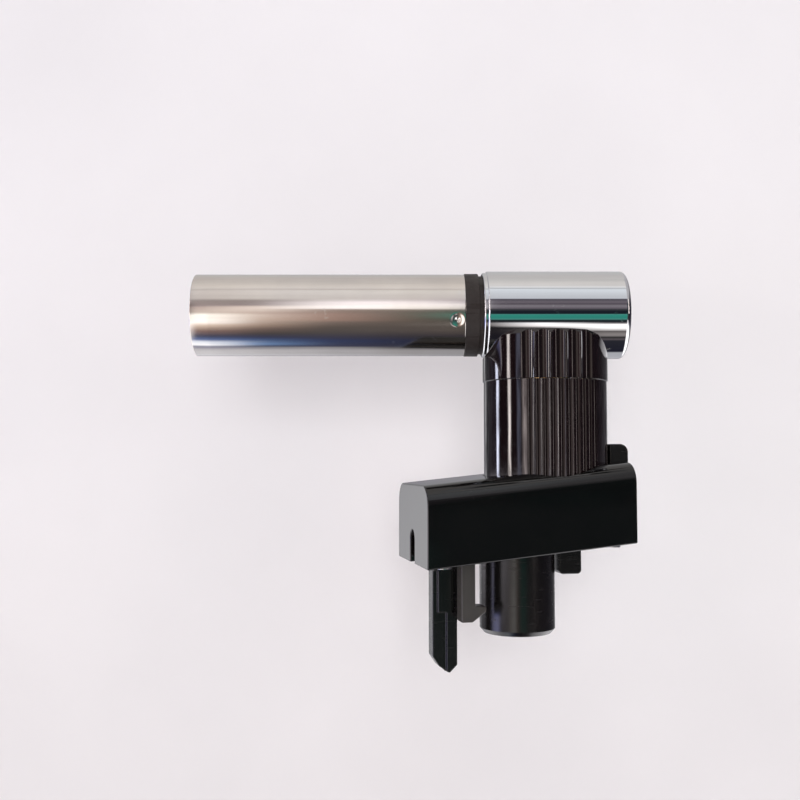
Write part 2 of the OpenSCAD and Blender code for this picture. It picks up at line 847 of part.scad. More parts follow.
// Short hollow key beside the socket that stops the head turning on the tank
module locating_key() color("#121214")
    in_base()
        difference() {
            union() {
                intersection() {
                    block([12.1, -4, 18.4], [19.1, 4, 40]);
                    sloped_slab(10, 22, 20, base_h - 2.9, 60);
                }
                block([13.3, -4, 17.2], [17.9, 4, 28.4]);
                for (x = [13.3, 17.9])
                    translate([x, 0, 18.4])
                        bar_y(-4, 4, 1.2);
                intersection() {
                    block([12.1, -5, 20], [16.1, 5, 40]);
                    sloped_slab(10, 22, 20, base_h - 4.4, base_h - 2.9 - slip);
                }
                intersection() {
                    block([12.1, -4, 20], [16.1, 4, 40]);
                    sloped_slab(10, 22, 20, base_h - 4.4, base_h);
                }
            }
            block([14.1, -2.4, 16], [17.1, 2.4, 26]);
        }

// Sprung hook that holds the head on the tank
module snap_hook() color("#121214")
    in_base()
        difference() {
            translate([0, latch_y + 3, 0])
                union() {
                    rotate([90, 0, 0])
                        linear_extrude(6)
                            polygon([[-20.35, latch_z], [-20.35, 5.2], [-20.15, 5], [-17.1, 5], [-13.05, 8],
                                     [-13.05, 9.2], [-13.25, 9.4], [-16.3, 9.7], [-16.3, latch_z]]);
                    translate([latch_x, 0, latch_z])
                        rotate([90, 0, 0])
                            cylinder(r = 2.65, h = 6);
                    block([latch_x, -6, latch_z + 0.9], [-11, 0, latch_z + 2.6]);
                }
            translate([latch_x, 0, latch_z])
                bar_y(-20, 0, 1 + run_gap);
        }

// Hinge pin of the hook
module latch_pin() color("silver")
    in_base()
        translate([latch_x, 0, latch_z])
            bar_y(latch_y - 5, latch_y + 5, 1);

// Spring under the hook's tail
module latch_spring() color("silver")
    in_base()
        translate([-12.6, latch_y, 0])
            coil(26.3, latch_z + 0.85, 1.2, 0.25, 4);

flame_tube();
insulating_collar();
burner_cup();
flame_disc();
mixer_tube();
gas_jet();
electrode();
electrode_insulator();
electrode_lead();
head_shell();
burner_body();
neck_collar();
collar_screws();
spark_ring();
swivel_spindle();
spindle_seals();
flame_ring();
needle();
needle_pin();
neck_core();
retaining_clip();
contact_holder();
spark_wiper();
ignition_lead();
base_shroud();
base_plate();
base_screws();
fuel_socket();
socket_seal();
inlet_probe();
valve_body();
valve_gland();
valve_stem();
valve_spring();
valve_lever();
lever_pin();
piezo_body();
piezo_plunger();
trigger();
trigger_spring();
guide_prong();
locating_key();
snap_hook();
latch_pin();
latch_spring();
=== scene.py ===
"""Butane torch head: looks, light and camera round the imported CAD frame."""

import json
import math
import bmesh
import bpy
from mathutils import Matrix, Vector


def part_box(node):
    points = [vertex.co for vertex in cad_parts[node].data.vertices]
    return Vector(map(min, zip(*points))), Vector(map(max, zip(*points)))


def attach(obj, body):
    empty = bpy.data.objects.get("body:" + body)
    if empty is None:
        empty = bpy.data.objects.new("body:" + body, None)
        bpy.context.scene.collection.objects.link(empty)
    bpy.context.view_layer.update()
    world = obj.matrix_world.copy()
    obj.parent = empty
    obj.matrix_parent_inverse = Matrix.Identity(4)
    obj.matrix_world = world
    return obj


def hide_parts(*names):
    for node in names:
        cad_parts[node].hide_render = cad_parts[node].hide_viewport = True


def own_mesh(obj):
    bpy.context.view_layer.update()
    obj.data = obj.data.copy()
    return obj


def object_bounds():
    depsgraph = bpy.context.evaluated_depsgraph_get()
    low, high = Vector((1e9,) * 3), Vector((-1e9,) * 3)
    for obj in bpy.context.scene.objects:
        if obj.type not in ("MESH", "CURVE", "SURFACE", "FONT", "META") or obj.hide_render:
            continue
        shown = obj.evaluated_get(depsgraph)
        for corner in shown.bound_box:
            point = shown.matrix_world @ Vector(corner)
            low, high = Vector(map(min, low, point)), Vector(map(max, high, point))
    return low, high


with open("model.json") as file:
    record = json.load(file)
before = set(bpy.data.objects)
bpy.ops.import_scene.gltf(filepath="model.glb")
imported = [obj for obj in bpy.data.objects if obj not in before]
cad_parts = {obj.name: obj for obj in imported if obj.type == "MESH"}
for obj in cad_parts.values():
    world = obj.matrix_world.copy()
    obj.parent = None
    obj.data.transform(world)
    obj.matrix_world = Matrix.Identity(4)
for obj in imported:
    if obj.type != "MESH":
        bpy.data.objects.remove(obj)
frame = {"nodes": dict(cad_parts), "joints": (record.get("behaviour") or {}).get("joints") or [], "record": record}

cad_low, cad_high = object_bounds()

MM = 0.001
NODES = frame["nodes"]
BODY_OF = {n: body for body, names in frame["record"]["behaviour"]["bodies"].items() for n in names}
JOINTS = {joint["name"]: joint for joint in frame["joints"]}
NECK = Vector(JOINTS["head_swivel"]["pos_m"])
shell_low, shell_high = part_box("head_shell")
BURNER = Vector((NECK.x, NECK.y, (shell_low.z + shell_high.z) / 2))

SLOT_NODES = {
    "stainless": ["flame_tube"],
    "chrome": ["head_shell"],
    "phenolic": ["insulating_collar", "contact_holder"],
    "gloss_black": ["neck_collar", "flame_ring", "base_shroud"],
    "satin_black": ["base_plate", "fuel_socket", "guide_prong", "locating_key", "snap_hook", "trigger",
                    "piezo_body"],
    "brass": ["burner_cup", "flame_disc", "mixer_tube", "gas_jet", "burner_body", "spark_ring",
              "swivel_spindle", "neck_core", "spark_wiper", "inlet_probe", "valve_body", "valve_gland"],
    "steel": ["electrode", "collar_screws", "needle", "needle_pin", "retaining_clip", "base_screws",
              "valve_stem", "valve_spring", "valve_lever", "lever_pin", "trigger_spring", "latch_pin",
              "latch_spring"],
    "ceramic": ["electrode_insulator"],
    "lead_sleeve": ["electrode_lead", "ignition_lead"],
    "white_plastic": ["piezo_plunger"],
    "rubber": ["spindle_seals", "socket_seal"],
}
# Nodes whose rounded edges keep their full width beside small details
FREE_EDGES = ("base_shroud", "guide_prong", "locating_key", "snap_hook", "trigger")
# Nodes that the polished metal doesn't mirror
NOT_MIRRORED = ("neck_collar",)
SLOT_OF = {n: slot for slot, names in SLOT_NODES.items() for n in names}


# ---------------------------------------------------------------- camera
def add_camera():
    """The photograph's view: level with the neck, tilted up a little, aimed between tube and base."""
    pitch, distance = math.radians(3.25), 310.4 * MM
    left_of_burner, below_burner = 44.46 * MM, 26.08 * MM
    up = Vector((0, -math.sin(pitch), math.cos(pitch)))
    forward = Vector((0, math.cos(pitch), math.sin(pitch)))
    aim = BURNER + Vector((-left_of_burner, 0, 0)) - up * below_burner
    data = bpy.data.cameras.new("camera")
    data.sensor_width = 36
    data.lens = 45.27
    data.clip_start = 0.01
    camera = bpy.data.objects.new("camera", data)
    camera.location = aim - forward * distance
    camera.rotation_euler = (math.pi / 2 + pitch, 0, 0)
    bpy.context.scene.collection.objects.link(camera)
    bpy.context.scene.camera = camera


# ---------------------------------------------------------------- node helpers
MOST_STOPS = 32


class Nodes:
    """Short calls for building a node tree."""

    def __init__(self, tree):
        self.tree = tree
        tree.nodes.clear()

    def add(self, kind, inputs=None, **settings):
        node = self.tree.nodes.new("ShaderNode" + kind)
        for key, value in settings.items():
            setattr(node, key, value)
        for key, value in (inputs or {}).items():
            socket = node.inputs[key]
            if isinstance(value, bpy.types.NodeSocket):
                self.tree.links.new(value, socket)
            else:
                socket.default_value = value
        return node

    def math(self, operation, a, b=0.0):
        return self.add("Math", {0: a, 1: b}, operation=operation).outputs[0]

    def span(self, value, low, high, to_low=0.0, to_high=1.0):
        """value moved from low..high to to_low..to_high, held at the ends."""
        return self.add("MapRange", {"Value": value, "From Min": low, "From Max": high,
                                     "To Min": to_low, "To Max": to_high}).outputs[0]

    def mix(self, factor, a, b, blend="MIX"):
        node = self.add("Mix", data_type="RGBA", blend_type=blend)
        for socket, value in ((node.inputs[0], factor), (node.inputs[6], a), (node.inputs[7], b)):
            if isinstance(value, bpy.types.NodeSocket):
                self.tree.links.new(value, socket)
            else:
                socket.default_value = value
        return node.outputs[2]

    def noise(self, vector, scale, detail=3.0, roughness=0.55, stretch=None):
        if stretch:
            vector = self.add("Mapping", {"Vector": vector, "Scale": stretch}).outputs[0]
        return self.add("TexNoise", {"Vector": vector, "Scale": scale, "Detail": detail,
                                     "Roughness": roughness}).outputs[0]

    def ramp(self, factor, stops):
        """Colour ramp; stops are (position, (r, g, b)). A long one is two ramps side by side."""
        if len(stops) > MOST_STOPS:
            half = len(stops) // 2
            return self.mix(self.math("GREATER_THAN", factor, stops[half][0]),
                            self.ramp(factor, stops[:half + 1]), self.ramp(factor, stops[half:]))
        node = self.add("ValToRGB", {0: factor})
        elements = node.color_ramp.elements
        while len(elements) > 1:
            elements.remove(elements[-1])
        elements[0].position = stops[0][0]
        elements[0].color = (*stops[0][1], 1)
        for position, colour in stops[1:]:
            elements.new(position).color = (*colour, 1)
        return node.outputs[0]


def rgb(*values):
    return (*values, 1.0)


def material(name):
    made = bpy.data.materials.new(name)
    made.use_nodes = True
    nodes = Nodes(made.node_tree)
    where = nodes.add("TexCoord").outputs["Object"]
    return made, nodes, where


def finish_surface(nodes, surface, height, strength, depth):
    """Gives the surface shader a bump of a height map, and joins it to the output."""
    bump = nodes.add("Bump", {"Height": height, "Strength": strength, "Distance": depth})
    nodes.tree.links.new(bump.outputs[0], surface.inputs["Normal"])
    out = nodes.add("OutputMaterial")
    nodes.tree.links.new(surface.outputs[0], out.inputs[0])


# ---------------------------------------------------------------- materials
GRAIN_DEPTH = 0.02 * MM
SPOT_COLOUR = (0.75, 0.78, 0.82)
DUST_COLOUR = (0.35, 0.34, 0.33)


def dried_spots(nodes, where):
    """Soft rings where drops of water dried, in a few of many cells."""
    wobble = nodes.mix(0.012, where, nodes.add("TexNoise", {"Vector": where, "Scale": 500.0}).outputs[1])
    cells = nodes.add("TexVoronoi", {"Vector": wobble, "Scale": 190.0, "Randomness": 1.0}, feature="F1")
    far = cells.outputs["Distance"]
    chosen = nodes.add("TexWhiteNoise", {"Vector": cells.outputs["Position"]}).outputs[0]
    rim = nodes.math("MULTIPLY", nodes.span(far, 0.13, 0.19), nodes.span(far, 0.25, 0.2))
    mark = nodes.math("ADD", rim, nodes.span(far, 0.24, 0.14, 0, 0.4))
    return nodes.math("MULTIPLY", mark, nodes.span(chosen, 0.84, 0.95))


def metal(name, colour, tone, rough, rough_spread, grain, bump, spots=0.0, tint=None):
    """Bare metal: smudges in its gloss, a fine grain along one axis, and dried spots."""
    made, nodes, where = material(name)
    cloud = nodes.noise(where, 60, 4)
    broad = nodes.noise(where, 22, 2)
    lines = nodes.noise(where, 900, 2, 0.6, stretch=grain)
    base = nodes.mix(nodes.span(cloud, 0.35, 0.7), rgb(*colour), rgb(*tone))
    if tint:
        base = nodes.mix(nodes.span(broad, 0.5, 0.75, 0, 0.35), base, rgb(*tint))
    base = nodes.mix(nodes.span(lines, 0.45, 0.75, 0, 0.12), base, rgb(*(0.6 * c for c in colour)))
    gloss = nodes.span(cloud, 0.3, 0.75, rough, rough + rough_spread)
    gloss = nodes.math("ADD", gloss, nodes.span(lines, 0.4, 0.8, 0, rough_spread * 0.6))
    if spots:
        mark = nodes.math("MULTIPLY", dried_spots(nodes, where), spots)
        gloss = nodes.math("ADD", gloss, mark)
        base = nodes.mix(mark, base, rgb(*SPOT_COLOUR))
    surface = nodes.add("BsdfPrincipled", {"Base Color": base, "Metallic": 1.0, "Roughness": gloss})
    finish_surface(nodes, surface, lines, bump, GRAIN_DEPTH)
    return made


def plastic(name, colour, tone, rough, rough_spread, grain_scale, bump, coat=0.0, dust=0.0):
    """Moulded plastic or rubber: slight colour clouds, handling marks in the gloss and a fine mould grain."""
    made, nodes, where = material(name)
    cloud = nodes.noise(where, 45, 4)
    wear = nodes.noise(where, 260, 3, 0.65)
    grain = nodes.noise(where, grain_scale, 2, 0.5)
    scratch = nodes.noise(where, 500, 1, 0.5, stretch=(0.12, 1.0, 1.6))
    base = nodes.mix(nodes.span(cloud, 0.35, 0.7), rgb(*colour), rgb(*tone))
    if dust:
        specks = nodes.add("TexVoronoi", {"Vector": where, "Scale": 900.0}, feature="F1")
        mask = nodes.math("MULTIPLY", nodes.span(specks.outputs["Distance"], 0.16, 0.08),
                          nodes.span(cloud, 0.5, 0.62))
        base = nodes.mix(nodes.math("MULTIPLY", mask, dust), base, rgb(*DUST_COLOUR))
    gloss = nodes.span(wear, 0.3, 0.75, rough, rough + rough_spread)
    gloss = nodes.math("ADD", gloss, nodes.span(scratch, 0.62, 0.7, 0, rough_spread))
    surface = nodes.add("BsdfPrincipled", {"Base Color": base, "Roughness": gloss, "IOR": 1.5,
                                           "Coat Weight": coat, "Coat Roughness": 0.05})
    finish_surface(nodes, surface, grain, bump, GRAIN_DEPTH)
    return made


def make_materials():
    """Every finish by name: base colour, second tone, gloss and its spread, then the grain."""
    along_x, along_z = (0.03, 1.0, 1.0), (1.0, 1.0, 0.03)
    return {
        "stainless": metal("stainless", (0.68, 0.645, 0.62), (0.62, 0.59, 0.57), 0.075, 0.05, along_x,
                           0.12, spots=0.12, tint=(0.6, 0.53, 0.46)),
        "chrome": metal("chrome", (0.66, 0.665, 0.68), (0.63, 0.635, 0.65), 0.025, 0.03, along_x, 0.02,
                        spots=0.1),
        "brass": metal("brass", (0.72, 0.5, 0.24), (0.62, 0.42, 0.2), 0.2, 0.15, along_z, 0.3,
                       tint=(0.45, 0.26, 0.12)),
        "steel": metal("steel", (0.55, 0.55, 0.56), (0.48, 0.48, 0.5), 0.22, 0.12, along_z, 0.2),
        "phenolic": plastic("phenolic", (0.013, 0.0095, 0.0085), (0.022, 0.016, 0.014), 0.5, 0.25,
                            1400, 0.5, dust=0.15),
        "gloss_black": plastic("gloss_black", (0.0022, 0.0018, 0.002), (0.0035, 0.003, 0.003), 0.04, 0.04,
                               700, 0.02, dust=0.06),
        "neck_black": plastic("neck_black", (0.005, 0.0025, 0.003), (0.0075, 0.004, 0.0045), 0.04, 0.04,
                              700, 0.02),
        "satin_black": plastic("satin_black", (0.038, 0.034, 0.032), (0.048, 0.044, 0.041), 0.32, 0.1,
                               1600, 0.2),
        "socket_black": plastic("socket_black", (0.0045, 0.004, 0.0042), (0.0065, 0.0055, 0.0055), 0.2,
                                0.07, 1600, 0.1),
        "ceramic": plastic("ceramic", (0.8, 0.77, 0.7), (0.74, 0.7, 0.62), 0.12, 0.1, 900, 0.1, coat=0.5),
        "lead_sleeve": plastic("lead_sleeve", (0.3, 0.02, 0.02), (0.24, 0.016, 0.016), 0.4, 0.15,
                               1500, 0.2),
        "white_plastic": plastic("white_plastic", (0.78, 0.78, 0.75), (0.7, 0.7, 0.66), 0.32, 0.14,
                                 1300, 0.15),
        "rubber": plastic("rubber", (0.012, 0.012, 0.012), (0.02, 0.02, 0.02), 0.5, 0.2, 1500, 0.3),
    }


# ---------------------------------------------------------------- pieces
def publish(name, mesh, node):
    """Makes a piece of a mesh that stands for a CAD node: its body, slot and material come with it."""
    piece = bpy.data.objects.new(name, mesh)
    bpy.context.scene.collection.objects.link(piece)
    for face in mesh.polygons:
        face.use_smooth = True
    slot = SLOT_OF[node]
    mesh.materials.clear()
    mesh.materials.append(MATERIALS[slot])
    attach(piece, BODY_OF[node])
    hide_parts(node)
    return piece


def softened(name, node, width, finish=None):
    """The CAD node's own shape with its sharp edges rounded in the mesh, width in mm."""
    same_place, same_plane, sharp = 1e-6, math.radians(0.6), math.radians(28)
    mesh = bpy.data.meshes.new(name)
    work = bmesh.new()
    work.from_mesh(NODES[node].data)
    bmesh.ops.remove_doubles(work, verts=work.verts, dist=same_place)
    bmesh.ops.dissolve_limit(work, angle_limit=same_plane, verts=work.verts, edges=work.edges)
    bmesh.ops.dissolve_degenerate(work, dist=same_place, edges=work.edges)
    for edge in work.edges:
        edge.smooth = True
    work.to_mesh(mesh)
    work.free()
    for attribute in ("custom_normal", "sharp_edge"):
        if attribute in mesh.attributes:
            mesh.attributes.remove(mesh.attributes[attribute])
    piece = publish(name, mesh, node)
    if finish:
        mesh.materials[0] = MATERIALS[finish]
    bevel = piece.modifiers.new("edges", "BEVEL")
    bevel.limit_method = "ANGLE"
    bevel.angle_limit = sharp
    bevel.width = width * MM
    bevel.segments = 3
    bevel.use_clamp_overlap = node not in FREE_EDGES
    bevel.harden_normals = True
    bevel.miter_outer = "MITER_ARC"
    piece.visible_glossy = node not in NOT_MIRRORED


def outward_mesh(name, verts, faces):
    """A mesh of these corners and faces, with every face turned outward."""
    mesh = bpy.data.meshes.new(name)
    mesh.from_pydata(verts, [], faces)
    work = bmesh.new()
    work.from_mesh(mesh)
    bmesh.ops.recalc_face_normals(work, faces=work.faces)
    work.to_mesh(mesh)
    work.free()
    return mesh


def revolved(name, node, rows, around, shift):
    """A closed wall about the burner's X axis.

    rows are (x, radius) in mm round the wall, around is the count of corners in each row, and
    shift(x, radius, turn) is added to the radius at a corner.
    """
    verts, faces = [], []
    for x, radius in rows:
        for k in range(around):
            turn = 2 * math.pi * k / around
            r = radius + shift(x, radius, turn)
            verts.append((BURNER.x + x * MM, BURNER.y - r * math.cos(turn) * MM,
                          BURNER.z + r * math.sin(turn) * MM))
    for i in range(len(rows)):
        a, b = i * around, (i + 1) % len(rows) * around
        for k in range(around):
            after = (k + 1) % around
            faces.append((a + k, a + after, b + after, b + k))
    publish(name, outward_mesh(name, verts, faces), node)


def make_flame_tube():
    """Thin stainless tube with rounded rims and three punched dimples near its rear end, all in mm."""
    low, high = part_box("flame_tube")
    front, rear = (low.x - BURNER.x) / MM, (high.x - BURNER.x) / MM
    outer, wall, edge, rim_steps = (high.z - low.z) / 2 / MM, 0.6, 0.22, 5
    inner = outer - wall
    dimple_x, dish_r, dish, pit_r, pit = rear - 2.58, 2.25, 0.2, 0.95, 0.28
    dimple_turns = [math.radians(-14 + 120 * k) for k in range(3)]

    def shift(x, radius, turn):
        out = 0.0
        for centre in dimple_turns:
            around = (turn - centre + math.pi) % (2 * math.pi) - math.pi
            far = math.hypot(x - dimple_x, around * radius)
            if far < dish_r:
                out -= dish * (1 - (far / dish_r) ** 4) ** 2
            if far < pit_r:
                out -= pit * (1 - (far / pit_r) ** 2) ** 2
        return out

    def rim(x, way):
        """Rounded edge of the wall: from the outside to the inside."""
        centre = x - way * edge
        angles = [math.pi / 2 * k / rim_steps for k in range(rim_steps + 1)]
        return ([(centre + way * edge * math.sin(a), outer - edge + edge * math.cos(a)) for a in angles]
                + [(centre + way * edge * math.cos(a), inner + edge - edge * math.sin(a)) for a in angles])

    plain_rows, fine_reach, fine_step = 14, 20, 0.12
    plain_from, plain_to = front + edge, dimple_x - 2.5
    plain = [plain_from + (plain_to - plain_from) * (k + 1) / plain_rows for k in range(plain_rows)]
    fine = [dimple_x + fine_step * k for k in range(-fine_reach, fine_reach)]
    outside = [x for x in plain + fine if x < rear - edge - 0.02]
    rows = rim(front, -1)[::-1]
    rows += [(x, outer) for x in outside]
    rows += rim(rear, 1)
    rows += [(x, inner) for x in reversed(outside)]
    revolved("flame_tube_wall", "flame_tube", rows, 400, shift)


def make_spring(name, node, wire, turns):
    """Wire spring with closed ends, wound in mesh code.

    wire is the wire's radius in mm.
    """
    low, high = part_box(node)
    centre = (low + high) / 2
    wire_r, coil_r = wire * MM, (high.x - low.x) / 2 - wire * MM
    sides, per_turn, closed_turns = 10, 24, 0.75
    bottom, top = low.z + wire_r, high.z - wire_r
    total = turns + 2 * closed_turns
    count = int(total * per_turn)
    verts, faces = [], []
    for k in range(count + 1):
        turn = total * k / count
        rise = min(max((turn - closed_turns) / turns, 0.0), 1.0)
        a = 2 * math.pi * turn
        z = bottom + (top - bottom) * rise
        middle = Vector((centre.x + coil_r * math.cos(a), centre.y + coil_r * math.sin(a), z))
        out = Vector((math.cos(a), math.sin(a), 0))
        for s in range(sides):
            b = 2 * math.pi * s / sides
            verts.append(middle + (out * math.cos(b) + Vector((0, 0, math.sin(b)))) * wire_r)
    for k in range(count):
        for s in range(sides):
            a, b = k * sides + s, k * sides + (s + 1) % sides
            faces.append((a, b, b + sides, a + sides))
    faces.append(tuple(range(sides)))
    faces.append(tuple(count * sides + s for s in reversed(range(sides))))
    piece = publish(name, outward_mesh(name, verts, faces), node)
    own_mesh(piece)


# ---------------------------------------------------------------- studio
# What the polished metal mirrors, by elevation in degrees above the horizon in front (over 90 is behind).
# Each column of STUDIO is one place from the left to the right of the studio.
OVERHEAD = [(74, (1.0, 0.96, 0.93)), (84, (0.95, 0.9, 0.86)), (98, (0.8, 0.77, 0.74)),
            (115, (0.75, 0.71, 0.69)), (150, (0.6, 0.6, 0.6)), (180, (0.28, 0.27, 0.3))]
HEAD_TOP = [(3, (0.015, 0.02, 0.03)), (8, (0.07, 0.07, 0.08)), (11, (0.2, 0.17, 0.2)),
            (17, (0.3, 0.27, 0.3)), (22, (0.12, 0.1, 0.12)), (27, (0.22, 0.19, 0.22)),
            (35, (0.1, 0.09, 0.11)), (37, (0.8, 0.82, 0.88)), (42, (0.8, 0.82, 0.86)),
            (64, (1.05, 1.1, 1.15)), (68, (0.6, 0.6, 0.6)), (71, (1.25, 1.25, 1.27))]
TEAL = [(-19, (0.02, 0.03, 0.035)), (-18, (0.12, 0.4, 0.35)), (-15, (0.045, 0.33, 0.26)),
        (-7, (0.045, 0.36, 0.28)), (-5, (0.12, 0.42, 0.36)), (-4, (0.015, 0.02, 0.03))]
# (sideways part, brightness low behind, stops)
STUDIO = [
    (-0.19, 0.85, [(-112, (0.5, 0.5, 0.6)), (-106, (0.4, 0.42, 0.56)), (-100, (1.6, 1.65, 1.75)),
                   (-88, (1.3, 1.4, 1.6)), (-80, (0.18, 0.26, 0.55)), (-68, (0.1, 0.11, 0.18)),
                   (-52, (0.36, 0.24, 0.22)), (-42, (0.75, 0.6, 0.5)), (-34, (1.3, 1.1, 0.95)),
                   (-27, (1.9, 1.85, 1.8)), (-5, (1.9, 1.85, 1.75)), (0, (1.0, 0.88, 0.8)),
                   (14, (0.9, 0.75, 0.7)), (20, (0.5, 0.42, 0.42)), (35, (0.5, 0.44, 0.43)),
                   (40, (0.85, 0.8, 0.78)), (66, (0.95, 0.9, 0.88)), (70, (0.7, 0.67, 0.65))]),
    (-0.14, 0.72, [(-108, (0.25, 0.26, 0.32)), (-104, (0.08, 0.11, 0.2)), (-96, (0.2, 0.36, 0.68)),
                   (-84, (0.1, 0.18, 0.38)), (-72, (0.06, 0.07, 0.14)), (-60, (0.09, 0.08, 0.08)),
                   (-46, (0.22, 0.16, 0.14)), (-34, (0.5, 0.37, 0.3)), (-20, (0.78, 0.62, 0.52)),
                   (-8, (0.95, 0.78, 0.68)), (-1, (0.82, 0.66, 0.58)), (6, (1.2, 1.05, 0.95)),
                   (16, (1.15, 1.0, 0.92)), (21, (0.36, 0.31, 0.31)), (34, (0.36, 0.31, 0.3)),
                   (40, (0.9, 0.86, 0.83)), (66, (1.0, 0.96, 0.94)), (70, (0.78, 0.74, 0.72))]),
    (-0.07, 0.6, [(-110, (0.4, 0.4, 0.43)), (-105, (0.07, 0.075, 0.13)), (-84, (0.05, 0.065, 0.15)),
                  (-72, (0.07, 0.07, 0.11)), (-56, (0.11, 0.1, 0.1)), (-40, (0.14, 0.12, 0.11)),
                  (-28, (0.24, 0.19, 0.17)), (-20, (0.46, 0.31, 0.26)), (-6, (0.5, 0.34, 0.29)),
                  (4, (0.42, 0.31, 0.27)), (9, (0.5, 0.4, 0.36)), (12, (1.7, 1.65, 1.65)),
                  (29, (1.6, 1.5, 1.55)), (34, (1.1, 1.05, 1.05)), (39, (0.88, 0.84, 0.82)),
                  (66, (1.05, 1.02, 1.0)), (70, (0.7, 0.66, 0.63))]),
    (0.02, 0.45, [(-118, (0.3, 0.3, 0.32)), (-112, (0.05, 0.05, 0.075)), (-84, (0.035, 0.04, 0.08)),
                  (-70, (0.06, 0.055, 0.07)), (-50, (0.14, 0.12, 0.115)), (-24, (0.14, 0.12, 0.105)),
                  (0, (0.19, 0.18, 0.16)), (8, (0.3, 0.26, 0.23)), (11, (1.5, 1.45, 1.4)),
                  (20, (1.75, 1.7, 1.7)), (30, (1.5, 1.42, 1.48)), (35, (1.0, 0.94, 0.97)),
                  (40, (0.9, 0.86, 0.85)), (66, (1.05, 1.02, 0.98)), (70, (0.72, 0.68, 0.65))]),
    (0.066, 0.4, [(-118, (0.25, 0.25, 0.28)), (-114, (0.035, 0.032, 0.055)), (-84, (0.03, 0.028, 0.05)),
                  (-66, (0.07, 0.06, 0.065)), (-50, (0.15, 0.13, 0.115)), (-28, (0.16, 0.15, 0.13)),
                  (-18, (0.12, 0.15, 0.12)), (-6, (0.12, 0.32, 0.25)), (3, (0.13, 0.24, 0.19)),
                  (8, (0.2, 0.19, 0.17)), (11, (1.5, 1.45, 1.35)), (20, (1.75, 1.7, 1.7)),
                  (28, (1.2, 1.13, 1.2)), (35, (0.8, 0.74, 0.78)), (40, (0.86, 0.82, 0.82)),
                  (66, (1.05, 1.02, 0.98)), (70, (0.7, 0.66, 0.63))]),
    (0.09, 0.58, [(-118, (0.02, 0.02, 0.03)), (-38, (0.012, 0.01, 0.013)), (-34, (0.25, 0.22, 0.22)),
                  (-28, (0.3, 0.27, 0.27)), (-25, (0.02, 0.02, 0.025))] + TEAL + HEAD_TOP),
    (0.14, 0.58, [(-118, (0.02, 0.02, 0.03)), (-62, (0.03, 0.025, 0.03)), (-47, (0.13, 0.11, 0.11)),
                  (-40, (0.07, 0.06, 0.06)), (-35, (1.6, 1.5, 1.45)), (-28, (1.9, 1.85, 1.85)),
                  (-25, (0.02, 0.02, 0.025))] + TEAL + HEAD_TOP),
    (0.2, 0.58, [(-118, (0.02, 0.02, 0.035)), (-78, (0.03, 0.03, 0.04)), (-73, (0.14, 0.12, 0.13)),
                 (-67, (0.03, 0.03, 0.03)), (-61, (0.38, 0.34, 0.33)), (-54, (0.3, 0.27, 0.26)),
                 (-50, (0.12, 0.1, 0.1)), (-45, (1.0, 0.95, 0.92)), (-40, (1.9, 1.85, 1.8)),
                 (-32, (1.9, 1.85, 1.8)), (-29, (0.6, 0.55, 0.55)), (-26, (0.03, 0.035, 0.04))]
     + TEAL + HEAD_TOP),
]

# What is mirrored from further to the sides, by azimuth in degrees: 0 is in front and -90 is left.
PALE = (0.85, 0.85, 0.86)
DARK = (0.02, 0.016, 0.022)
BOARD = (1.6, 1.58, 1.62)
LOW_BOARD = (1.15, 1.14, 1.17)
RIGHT_REAR = [(100, (0.06, 0.055, 0.08)), (149, (0.25, 0.24, 0.26)), (155, PALE), (180, PALE)]
# At the horizon: a dark room with narrow bright windows and, in front, a dim teal wall
HORIZON = [(-180, BOARD), (-155, BOARD), (-150, (0.3, 0.3, 0.32)), (-115, (0.16, 0.16, 0.22)),
           (-111, (0.12, 0.13, 0.22)), (-109, (15.0, 15.6, 19.0)), (-104, (15.0, 15.6, 19.0)), (-102, DARK),
           (-81, DARK), (-79, (19.0, 17.2, 16.6)), (-75, (19.0, 17.2, 16.6)), (-73, DARK), (-62, DARK),
           (-60, (1.5, 1.6, 2.2)), (-54, (1.3, 1.4, 1.9)), (-52, DARK), (-47, (6.5, 5.6, 5.5)),
           (-44, (6.5, 5.6, 5.5)), (-42, DARK), (-29, (1.2, 0.8, 0.8)), (-26, DARK), (4, (0.03, 0.05, 0.05)),
           (20, (0.03, 0.075, 0.07)), (37, (0.03, 0.075, 0.07)), (40, DARK), (45, (0.3, 0.2, 0.2)),
           (47, (9.0, 7.8, 7.5)), (50, (9.0, 7.8, 7.5)), (52, DARK)] + RIGHT_REAR
# Just below it: the bright table top
TABLE = [(-180, LOW_BOARD), (-155, LOW_BOARD), (-140, (0.5, 0.48, 0.52)), (-120, (3.2, 3.0, 3.2)),
         (-40, (3.2, 3.0, 3.2)), (-20, DARK), (4, (0.06, 0.085, 0.085)), (37, (0.07, 0.1, 0.1)),
         (50, DARK)] + RIGHT_REAR
# Lower still: the near floor
NEAR_FLOOR = [(-180, LOW_BOARD), (-155, LOW_BOARD), (-150, (0.3, 0.3, 0.32)), (-90, (0.06, 0.06, 0.09)),
              (-80, (1.6, 1.7, 3.4)), (-66, (2.6, 2.7, 5.0)), (-58, DARK), (-36, DARK),
              (-24, (1.6, 1.4, 1.25)), (-10, (1.2, 1.0, 0.9)), (0, DARK), (20, (0.07, 0.058, 0.062)),
              (37, (0.07, 0.058, 0.062)), (45, DARK)] + RIGHT_REAR


def circle_ramp(nodes, angle, stops):
    """Colour ramp round a full circle: angle in radians, stops in degrees from -180 to 180."""
    place = nodes.span(angle, -math.pi, math.pi)
    return nodes.ramp(place, [((degrees + 180) / 360, colour) for degrees, colour in stops])


